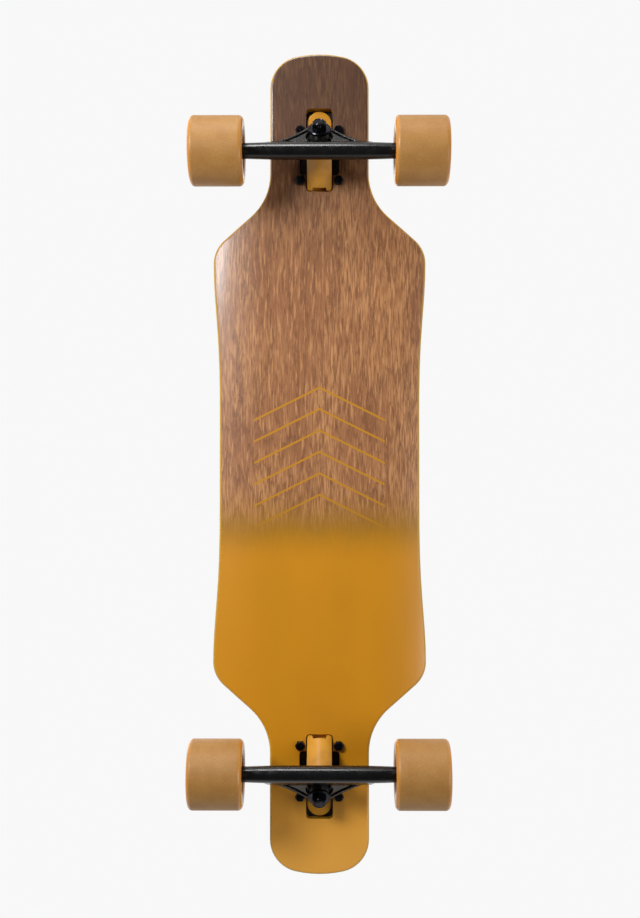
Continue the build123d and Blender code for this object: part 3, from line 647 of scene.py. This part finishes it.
@dataclass(frozen=True)
class PlatedSteel(Finish):
    """Turned steel, plated or blackened: metal sheen broken by fine turning marks."""

    base: str
    tone: str
    roughness: float
    mark_mm: float = 0.5

    def shade(self, tree: bpy.types.NodeTree, shader: bpy.types.Node) -> None:
        """Wire plate colour and turning marks.

        Args:
            tree: the material's nodes.
            shader: its Principled BSDF.
        """
        tone = add_node(
            tree, "ShaderNodeMapRange", {0: noise(tree, (5, 5, 5), 3.0), 1: 0.35, 2: 0.7}, **STEP
        )
        colour = add_node(
            tree, "ShaderNodeMix", {0: tone, 6: linear(self.base), 7: linear(self.tone)}, 2, **BLEND
        )
        tree.links.new(colour, shader.inputs["Base Color"])
        shader.inputs["Metallic"].default_value = 1.0
        marks = noise(tree, (6, self.mark_mm, 6), 2.0)
        roughness = add_node(
            tree,
            "ShaderNodeMapRange",
            {0: marks, 1: 0.3, 2: 0.7, 3: self.roughness - 0.07, 4: self.roughness + 0.1},
            **STEP,
        )
        tree.links.new(roughness, shader.inputs["Roughness"])
        bumped(tree, shader, marks, 0.03, 0.25)


@dataclass(frozen=True)
class CastUrethane(Finish):
    """Urethane, cast and ground: amber, a little clear, with a matte tread and shinier lips, drawn
    brighter, partly their own colour and partly a painted highlight.
    """

    axle_x: float
    tread: str = "#A07236"
    speck: str = "#AA7E40"
    # Lip colour: the unground urethane's own tone, lightened as a painted highlight.
    lip_and_highlight: str = "#BC7C2A"
    face: str = "#8E5C1E"
    inner_edge: float = 78.0 * MM
    outer_edge: float = 134.0 * MM
    lip_width: float = 5.0 * MM
    lip_flat: float = 1.2 * MM
    face_inner: float = 27.0 * MM
    face_outer: float = 33.0 * MM
    grind_mm: float = 0.8

    def shade(self, tree: bpy.types.NodeTree, shader: bpy.types.Node) -> None:
        """Wire tread, lips and faces by their distance from the axle.

        Args:
            tree: the material's nodes.
            shader: its Principled BSDF.
        """
        place = add_node(tree, "ShaderNodeTexCoord", out="Object")
        from_axle = add_node(
            tree,
            "ShaderNodeVectorMath",
            {0: place, 1: (self.axle_x, 0.0, AXLE_Z)},
            operation="SUBTRACT",
        )
        flat = add_node(
            tree, "ShaderNodeVectorMath", {0: from_axle, 1: (1.0, 0.0, 1.0)}, operation="MULTIPLY"
        )
        radius = add_node(tree, "ShaderNodeVectorMath", {0: flat}, 1, operation="LENGTH")
        y = add_node(tree, "ShaderNodeSeparateXYZ", {0: place}, 1)
        across = add_node(tree, "ShaderNodeMath", {0: y}, operation="ABSOLUTE")
        middle = (self.inner_edge + self.outer_edge) / 2
        half = (self.outer_edge - self.inner_edge) / 2
        off_middle = add_node(tree, "ShaderNodeMath", {0: across, 1: middle}, operation="SUBTRACT")
        off_middle = add_node(tree, "ShaderNodeMath", {0: off_middle}, operation="ABSOLUTE")
        lip_and_highlight = add_node(
            tree,
            "ShaderNodeMapRange",
            {0: off_middle, 1: half - self.lip_width, 2: half - self.lip_flat},
            **STEP,
        )
        face = add_node(
            tree,
            "ShaderNodeMapRange",
            {0: radius, 1: self.face_inner, 2: self.face_outer, 3: 1.0, 4: 0.0},
            **STEP,
        )
        speck = add_node(
            tree,
            "ShaderNodeMapRange",
            {0: noise(tree, (1.6, 1.6, 1.6), 3.0), 1: 0.42, 2: 0.66, 3: 0.0, 4: 0.7},
            **STEP,
        )
        cloud = add_node(
            tree,
            "ShaderNodeMapRange",
            {0: noise(tree, (16, 16, 16), 2.0), 1: 0.35, 2: 0.7, 3: 0.0, 4: 0.35},
            **STEP,
        )
        colour = add_node(
            tree,
            "ShaderNodeMix",
            {0: speck, 6: linear(self.tread), 7: linear(self.speck)},
            2,
            **BLEND,
        )
        colour = add_node(
            tree, "ShaderNodeMix", {0: cloud, 6: colour, 7: linear(self.face)}, 2, **BLEND
        )
        # The lips are drawn brighter: partly their own unground colour, partly a painted highlight
        # on their rounded edge.
        colour = add_node(
            tree, "ShaderNodeMix", {0: lip_and_highlight, 6: colour, 7: linear(self.lip_and_highlight)}, 2, **BLEND
        )
        colour = add_node(
            tree, "ShaderNodeMix", {0: face, 6: colour, 7: linear(self.face)}, 2, **BLEND
        )
        tree.links.new(colour, shader.inputs["Base Color"])
        roughness = add_node(
            tree, "ShaderNodeMapRange", {0: lip_and_highlight, 1: 0.0, 2: 1.0, 3: 0.55, 4: 0.26}, **STEP
        )
        tree.links.new(roughness, shader.inputs["Roughness"])
        shader.inputs["Subsurface Weight"].default_value = 0.08
        shader.inputs["Subsurface Radius"].default_value = (1.0, 0.5, 0.2)
        shader.inputs["Subsurface Scale"].default_value = 4 * MM
        # Grinding marks run round the tread, drawn 0.8 mm apart so that they show.
        grind = noise(tree, (40, self.grind_mm, 40), 2.0)
        bumped(tree, shader, grind, 0.03, 0.3)


@dataclass(frozen=True)
class MouldedHub(Finish):
    """Glass-filled nylon, moulded: dark brown, with a dull skin."""

    base: str = "#3A2412"
    streak: str = "#573818"

    def shade(self, tree: bpy.types.NodeTree, shader: bpy.types.Node) -> None:
        """Wire the moulded skin.

        Args:
            tree: the material's nodes.
            shader: its Principled BSDF.
        """
        streak = add_node(
            tree, "ShaderNodeMapRange", {0: noise(tree, (4, 12, 4), 3.0), 1: 0.35, 2: 0.7}, **STEP
        )
        colour = add_node(
            tree,
            "ShaderNodeMix",
            {0: streak, 6: linear(self.base), 7: linear(self.streak)},
            2,
            **BLEND,
        )
        tree.links.new(colour, shader.inputs["Base Color"])
        shader.inputs["Roughness"].default_value = 0.45
        bumped(tree, shader, noise(tree, (0.8, 0.8, 0.8), 2.0), 0.05, 0.3)


UNDERSIDE = StainedVeneer("stained_lacquered_veneer", "bottom_veneer")
TOP_VENEER = PlainVeneer("clear_maple_veneer", "top_veneer")
EDGE = PaintedEdge("ochre_painted_plies", "deck_core")
TAPE = GritTape("silicon_carbide_grit_tape", "grip_tape")
OCHRE = PowderCoat("ochre_powder_coat", "baseplate_paint", Coat.OCHRE)
BLACK = PowderCoat("black_powder_coat", "hanger_paint", Coat.BLACK)
RUBBER = MouldedRubber("black_moulded_urethane", "black_urethane")
SHIELD = MouldedRubber("black_shield_rubber", "bearing_shield", "#101012", "#1E1E22", 0.45)
OXIDE = PlatedSteel("black_oxide_steel", "black_hardware", "#202024", "#34343A", 0.24)
ZINC = PlatedSteel("bright_zinc_steel", "zinc_steel", "#C3C5C8", "#A6A8AC", 0.28)
BEARING = PlatedSteel("ground_bearing_steel", "bearing_steel", "#B9BABD", "#9FA1A5", 0.2)
HUB = MouldedHub("brown_moulded_hub", "wheel_core")


# --- pieces ---
@dataclass(frozen=True)
class Crown:
    """Rounded face of a casting: draft for the mould, which catches a band of light."""

    middle: Vector
    inward: Vector
    radius: float = 18.0 * MM
    half_width: float = 13.0 * MM

    def press(self, mesh: bpy.types.Mesh) -> None:
        """Press a flat face of the mesh in to the round, more towards its sides.

        Args:
            mesh: mesh to shape, whose face runs along Y.
        """
        for vertex in mesh.vertices:
            side = min(abs(vertex.co.y), self.half_width)
            limit = self.radius - math.sqrt(self.radius**2 - side**2)
            depth = (vertex.co - self.middle).dot(self.inward)
            if depth < limit:
                vertex.co += self.inward * (limit - depth)


@dataclass
class Casting:
    """A cast piece: the CAD solid with the soft edges that a mould leaves."""

    node: str
    body: str
    finish: Finish
    voxel: float = 0.55 * MM
    rounds: int = 7
    softness: float = 0.5
    crown: Crown | None = None

    def build(self) -> bpy.types.Object:
        """Remesh the CAD solid, smooth it and let it stand for its node.

        Returns:
            The cast piece.
        """
        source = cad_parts[self.node]
        piece = bpy.data.objects.new(f"{self.node}_casting", source.data.copy())
        bpy.context.scene.collection.objects.link(piece)
        remesh = piece.modifiers.new("skin", "REMESH")
        remesh.mode = "VOXEL"
        remesh.voxel_size = self.voxel
        smooth = piece.modifiers.new("soft_edges", "SMOOTH")
        smooth.factor = self.softness
        smooth.iterations = self.rounds
        evaluated = piece.evaluated_get(bpy.context.evaluated_depsgraph_get())
        mesh = bpy.data.meshes.new_from_object(evaluated)
        piece.modifiers.clear()
        piece.data = mesh
        if self.crown:
            self.crown.press(mesh)
        mesh.shade_smooth()
        self.finish.dress(piece)
        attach(piece, self.body)
        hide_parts(self.node)
        return piece


@dataclass
class LockNuts:
    """Nylon-collar lock nuts of one CAD node, with chamfered corners and a rolled collar."""

    node: str
    body: str
    finish: Finish
    seats: list[tuple[Vector, Vector]]
    flats: float
    height: float
    collar_radius: float
    collar_height: float
    bore: float
    chamfer: float = 0.7 * MM
    roll: float = 0.4 * MM
    steps: int = 72
    sharp_angle: float = math.radians(28)

    def profile(self) -> list[tuple[float, float, bool]]:
        """Section of the nut, from the bore at its seat round to the bore at its collar.

        Returns:
            Radius, height and whether it is cut to the hexagon, for each ring.
        """
        corner = self.flats / 2 / math.cos(math.pi / 6)
        tip = self.height + self.collar_height
        return [
            (self.bore, 0.0, False),
            (self.flats / 2, 0.0, False),
            (corner, self.chamfer / 2, True),
            (corner, self.height - self.chamfer, True),
            (self.flats / 2, self.height, False),
            (self.collar_radius, self.height, False),
            (self.collar_radius, tip - self.roll, False),
            (self.collar_radius - self.roll, tip, False),
            (self.bore + self.roll, tip, False),
            (self.bore, tip - self.roll, False),
        ]

    def ring_radius(self, radius: float, hexagon: bool, angle: float) -> float:
        """Radius of one ring at an angle, cut back to the hexagon's flats.

        Args:
            radius: the ring's full radius.
            hexagon: whether the flats cut it.
            angle: angle round the nut.

        Returns:
            The radius there.
        """
        if not hexagon:
            return radius
        sector = (angle + math.pi / 6) % (math.pi / 3) - math.pi / 6
        return min(radius, self.flats / 2 / math.cos(sector))

    def build(self) -> bpy.types.Object:
        """Make every nut of the node in one mesh.

        Returns:
            The nuts as one piece.
        """
        mesh = bpy.data.meshes.new(f"{self.node}_detailed")
        work = bmesh.new()
        for seat, direction in self.seats:
            turn = direction.to_track_quat("Z", "Y").to_matrix().to_4x4()
            place = Matrix.Translation(seat) @ turn
            rings = []
            for radius, height, hexagon in self.profile():
                ring = []
                for step in range(self.steps):
                    angle = step * math.tau / self.steps
                    reach = self.ring_radius(radius, hexagon, angle)
                    point = Vector((reach * math.cos(angle), reach * math.sin(angle), height))
                    ring.append(work.verts.new(place @ point))
                rings.append(ring)
            rings.append(rings[0])
            for low, high in zip(rings, rings[1:]):
                for step in range(self.steps):
                    after = (step + 1) % self.steps
                    work.faces.new((low[step], low[after], high[after], high[step]))
        bmesh.ops.recalc_face_normals(work, faces=work.faces)
        work.to_mesh(mesh)
        work.free()
        mesh.shade_smooth()
        mesh.set_sharp_from_angle(angle=self.sharp_angle)
        piece = bpy.data.objects.new(f"{self.node}_detailed", mesh)
        bpy.context.scene.collection.objects.link(piece)
        self.finish.dress(piece)
        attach(piece, self.body)
        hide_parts(self.node)
        return piece


@dataclass
class Deck:
    """Laminated board with its tape."""

    layers: dict[str, Finish] = field(
        default_factory=lambda: {
            "bottom_veneer": UNDERSIDE,
            "deck_core": EDGE,
            "top_veneer": TOP_VENEER,
            "grip_tape": TAPE,
        }
    )

    def build(self) -> list[str]:
        """Dress every layer.

        Returns:
            Names of the layers.
        """
        for node, finish in self.layers.items():
            finish.dress(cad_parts[node])
        return list(self.layers)


@dataclass
class Truck:
    """One truck without its wheels."""

    end: str
    outward: int
    bolt_centre_x: float = 329.7 * MM
    bolt_spacing: Point = (53.975 * MM, 41.275 * MM)
    bushing_out: float = 10.3 * MM
    bushing_drop: float = 12.3 * MM
    steer_angle: float = math.radians(42)
    kingpin_nut_seat: float = 18.5 * MM
    axle_nut_seat: float = 115.6 * MM
    tower_back: float = 31.6 * MM

    def finishes(self) -> dict[str, Finish]:
        """Finish of every CAD node that is shown as it is.

        Returns:
            Finish for each part, by its name without the end.
        """
        return {
            "shock_pad": RUBBER,
            "pivot_cup": RUBBER,
            "kingpin": OXIDE,
            "boardside_bushing": RUBBER,
            "roadside_bushing": RUBBER,
            "boardside_washer": OXIDE,
            "roadside_washer": OXIDE,
            "mounting_screws": OXIDE,
            "axle": ZINC,
            "bearing_inner_rings": BEARING,
            "bearing_spacers": ZINC,
            "speed_washers": ZINC,
        }

    def bushing_centre(self) -> Vector:
        """Point on the kingpin midway between the bushings."""
        x = self.outward * (self.bolt_centre_x + self.bushing_out)
        return Vector((x, 0, UNDERSIDE_Z - self.bushing_drop))

    def castings(self) -> list[Casting]:
        """Baseplate and hanger.

        Returns:
            The two castings.
        """
        sine, cosine = math.sin(self.steer_angle), math.cos(self.steer_angle)
        inward = Vector((self.outward * cosine, 0, sine))
        crown = Crown(self.bushing_centre() - inward * self.tower_back, inward)
        return [
            Casting(f"{self.end}_baseplate", "deck", OCHRE, crown=crown),
            Casting(f"{self.end}_hanger", f"{self.end}_hanger", BLACK),
        ]

    def mounting_nuts(self) -> LockNuts:
        """Four lock nuts under the deck.

        Returns:
            The nuts, not yet built.
        """
        half_x, half_y = self.bolt_spacing[0] / 2, self.bolt_spacing[1] / 2
        centre = self.outward * self.bolt_centre_x
        down = Vector((0, 0, -1))
        seats = [
            (Vector((centre + x, y, UNDERSIDE_Z)), down)
            for x in (-half_x, half_x)
            for y in (-half_y, half_y)
        ]
        return LockNuts(
            f"{self.end}_mounting_nuts",
            "deck",
            OXIDE,
            seats,
            9.5 * MM,
            4.0 * MM,
            4.2 * MM,
            1.2 * MM,
            2.4 * MM,
        )

    def kingpin_nut(self) -> LockNuts:
        """Large lock nut at the road end of the kingpin.

        Returns:
            The nut, not yet built.
        """
        sine, cosine = math.sin(self.steer_angle), math.cos(self.steer_angle)
        direction = Vector((self.outward * sine, 0, -cosine))
        seat = (self.bushing_centre() + direction * self.kingpin_nut_seat, direction)
        return LockNuts(
            f"{self.end}_kingpin_nut",
            "deck",
            OXIDE,
            [seat],
            14.3 * MM,
            6.5 * MM,
            6.2 * MM,
            1.3 * MM,
            4.76 * MM,
            1.0 * MM,
        )

    def axle_nuts(self) -> LockNuts:
        """Lock nuts at both ends of the axle.

        Returns:
            The nuts, not yet built.
        """
        x = self.outward * AXLE_X
        seats = [
            (Vector((x, side * self.axle_nut_seat, AXLE_Z)), Vector((0, side, 0)))
            for side in (1, -1)
        ]
        return LockNuts(
            f"{self.end}_axle_nuts",
            f"{self.end}_hanger",
            ZINC,
            seats,
            12.7 * MM,
            4.6 * MM,
            5.4 * MM,
            1.6 * MM,
            3.97 * MM,
        )

    def build(self) -> list[str]:
        """Dress and build every piece of the truck.

        Returns:
            Names of the pieces.
        """
        names = []
        for part, finish in self.finishes().items():
            node = f"{self.end}_{part}"
            finish.dress(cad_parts[node])
            names.append(node)
        for piece in (*self.castings(), self.mounting_nuts(), self.kingpin_nut(), self.axle_nuts()):
            names.append(piece.build().name)
        return names


@dataclass
class Wheel:
    """One wheel with the turning parts of its bearings."""

    end: str
    hand: str
    outward: int

    def build(self) -> list[str]:
        """Dress every part of the wheel.

        Returns:
            Names of the parts.
        """
        tyre = CastUrethane(
            f"amber_cast_urethane_{self.end}", "wheel_urethane", self.outward * AXLE_X
        )
        finishes = {
            "tyre": tyre,
            "wheel_core": HUB,
            "bearing_outer_rings": BEARING,
            "bearing_balls": BEARING,
            "bearing_shields": SHIELD,
        }
        names = []
        for part, finish in finishes.items():
            node = f"{self.end}_{self.hand}_{part}"
            finish.dress(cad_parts[node])
            names.append(node)
        return names


@dataclass
class Studio:
    """Plain pale floor, backdrop, soft lights and the camera under the board."""

    floor_z: float = -2.2
    half: float = 60.0
    backdrop_light: float = 0.94
    under_light: float = 0.11
    camera_at: tuple[float, float, float] = (-0.018, 0.009, -1.253)
    look_at: tuple[float, float, float] = (0.0033, 0.0006, 0.086)
    lens: float = 49.0
    far: float = 50.0
    floor_colour: str = "#F0F0F0"
    floor_roughness: float = 0.9
    dim_below: float = -0.5
    pale_above: float = -0.06

    def floor(self) -> None:
        """Large pale floor, which is seen but throws no light up at the board."""
        mesh = bpy.data.meshes.new("floor")
        corners = [(-1, -1), (1, -1), (1, 1), (-1, 1)]
        mesh.from_pydata(
            [(self.half * x, self.half * y, self.floor_z) for x, y in corners], [], [(0, 1, 2, 3)]
        )
        material = bpy.data.materials.new("pale_floor")
        material.use_nodes = True
        shader = material.node_tree.nodes["Principled BSDF"]
        shader.inputs["Base Color"].default_value = linear(self.floor_colour)
        shader.inputs["Roughness"].default_value = self.floor_roughness
        mesh.materials.append(material)
        floor = bpy.data.objects.new("floor", mesh)
        floor.visible_diffuse = False
        floor.visible_glossy = False
        bpy.context.scene.collection.objects.link(floor)

    def surroundings(self) -> None:
        """Pale all round and above, dimmer below, where the board's underside looks."""
        world = bpy.data.worlds.new("studio")
        bpy.context.scene.world = world
        world.use_nodes = True
        tree = world.node_tree
        place = add_node(tree, "ShaderNodeTexCoord", out="Generated")
        height = add_node(tree, "ShaderNodeSeparateXYZ", {0: place}, 2)
        strength = add_node(
            tree,
            "ShaderNodeMapRange",
            {
                0: height,
                1: self.dim_below,
                2: self.pale_above,
                3: self.under_light,
                4: self.backdrop_light,
            },
            **STEP,
        )
        background = tree.nodes["Background"]
        background.inputs["Color"].default_value = (1.0, 1.0, 1.0, 1.0)
        tree.links.new(strength, background.inputs["Strength"])

    def softbox(
        self, name: str, place: tuple[float, float, float], size: float, power: float
    ) -> None:
        """One soft light aimed at the board.

        Args:
            name: object name.
            place: where it hangs.
            size: side of its square face.
            power: watts.
        """
        light = bpy.data.lights.new(name, "AREA")
        light.shape = "SQUARE"
        light.size = size
        light.energy = power
        lamp = bpy.data.objects.new(name, light)
        lamp.location = place
        lamp.visible_camera = False
        aim = Vector((0, 0, UNDERSIDE_Z)) - Vector(place)
        lamp.rotation_euler = aim.to_track_quat("-Z", "Y").to_euler()
        bpy.context.scene.collection.objects.link(lamp)

    def camera(self) -> None:
        """Camera under the board, looking up, with the nose at the top of the picture."""
        data = bpy.data.cameras.new("camera")
        data.lens = self.lens
        data.clip_end = self.far
        camera = bpy.data.objects.new("camera", data)
        bpy.context.scene.collection.objects.link(camera)
        back = (Vector(self.camera_at) - Vector(self.look_at)).normalized()
        right = Vector((1, 0, 0)).cross(back).normalized()
        up = back.cross(right)
        turn = Matrix((right, up, back)).transposed().to_4x4()
        camera.matrix_world = Matrix.Translation(self.camera_at) @ turn
        bpy.context.scene.camera = camera

    def build(self) -> None:
        """Set the world, the stage, the lights and the camera."""
        bpy.context.scene.view_settings.view_transform = "Standard"
        self.surroundings()
        self.floor()
        self.softbox("key_softbox", (0.70, -0.95, -1.15), 0.5, 26.0)
        self.softbox("fill_softbox", (-0.3, 1.5, -1.2), 1.0, 14.0)
        self.softbox("nose_softbox", (1.45, -0.15, -0.5), 0.4, 9.0)
        self.softbox("top_softbox", (0.5, -0.9, 2.0), 2.0, 12.0)
        self.camera()


def main() -> None:
    """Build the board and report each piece."""
    logging.basicConfig(level=logging.INFO, format="%(name)s: %(message)s")
    Studio().build()
    assemblies = [Deck()]
    for end, outward in (("front", 1), ("rear", -1)):
        assemblies.append(Truck(end, outward))
        assemblies.extend(Wheel(end, hand, outward) for hand in ("left", "right"))
    for assembly in assemblies:
        for name in assembly.build():
            log.info("%s", name)
    bpy.context.view_layer.update()


if __name__ == "__main__":
    main()
